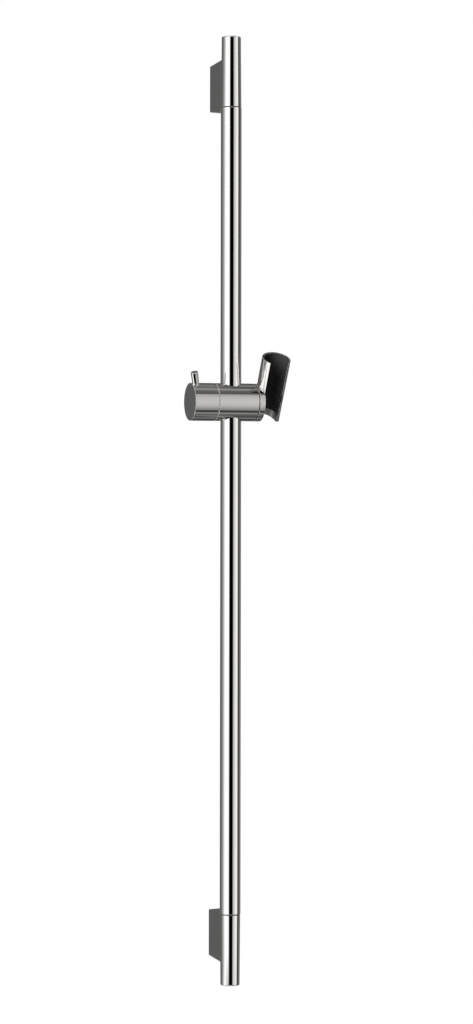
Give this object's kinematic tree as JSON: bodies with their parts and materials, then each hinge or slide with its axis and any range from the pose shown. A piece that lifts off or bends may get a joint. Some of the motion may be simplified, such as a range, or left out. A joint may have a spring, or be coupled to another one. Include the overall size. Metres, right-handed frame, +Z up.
{
  "type": "shower slide rail",
  "caption": "Chrome wall rail for a hand shower: a round tube between end brackets, with a clamped slider and a tilting slotted conical holder.",
  "frame": {"origin": "on the wall plane, midway between the upper and lower wall screws", "axes": "+X to the right seen from the front, +Y into the wall, +Z up along the rail"},
  "size_m": [0.1056, 0.076, 1.0054],
  "materials": {
    "polished_chrome": "mirror-polished chrome plate",
    "black_plastic": "satin moulded black",
    "grey_plastic": "moulded light grey",
    "black_rubber": "matt",
    "zinc_casting": "raw die casting",
    "bright_steel": "machined stainless steel",
    "plain_brass": "turned"
  },
  "bodies": {
    "rail": {"rail_tube": "polished_chrome", "upper_bracket": "polished_chrome", "upper_joint_ring": "black_plastic", "upper_tube_seal": "black_rubber", "upper_wall_block": "zinc_casting", "upper_grub_screw": "bright_steel", "lower_bracket": "polished_chrome", "lower_joint_ring": "black_plastic", "lower_tube_seal": "black_rubber", "lower_wall_block": "zinc_casting", "lower_grub_screw": "bright_steel"},
    "sleeve": {"clamp_sleeve": "grey_plastic"},
    "slider": {"slider_shell": "polished_chrome", "guide_core": "grey_plastic", "knob_seal": "black_rubber", "glide_ring": "grey_plastic", "friction_ring": "black_plastic", "pivot_plate": "zinc_casting", "plate_grub_screw": "bright_steel"},
    "knob": {"clamp_knob": "polished_chrome", "lever_pin": "polished_chrome", "clamp_spindle": "bright_steel", "thrust_washer": "bright_steel", "spindle_clip": "bright_steel"},
    "plunger": {"clamp_plunger": "plain_brass", "brake_pad": "black_rubber"},
    "holder": {"holder_cup": "polished_chrome", "holder_liner": "black_plastic", "pivot_bolt": "bright_steel", "inner_disc_spring": "bright_steel", "outer_disc_spring": "bright_steel", "lock_nut": "bright_steel"}
  },
  "joints": [
    {"name": "slider_slide", "type": "slide", "parent": "rail", "child": "sleeve", "axis": [0, 0, 1], "range_m": [-0.515, 0.285]},
    {"name": "slider_swivel", "type": "hinge", "parent": "sleeve", "child": "slider", "pos_m": [0, -0.04, 0.115], "axis": [0, 0, 1], "range_deg": [-28, 22]},
    {"name": "knob_turn", "type": "hinge", "parent": "slider", "child": "knob", "pos_m": [0, -0.04, 0.115], "axis": [1, 0, 0], "range_deg": [-90, 0]},
    {"name": "plunger_slide", "type": "slide", "parent": "slider", "child": "plunger", "axis": [1, 0, 0], "range_m": [-0.0004, 0]},
    {"name": "holder_tilt", "type": "hinge", "parent": "slider", "child": "holder", "pos_m": [0, -0.04, 0.115], "axis": [1, 0, 0], "range_deg": [-29.5, 45]}
  ],
  "couplings": [
    {"joint": "plunger_slide", "follows": "knob_turn", "m_per_rad": 0.00023873}
  ]
}
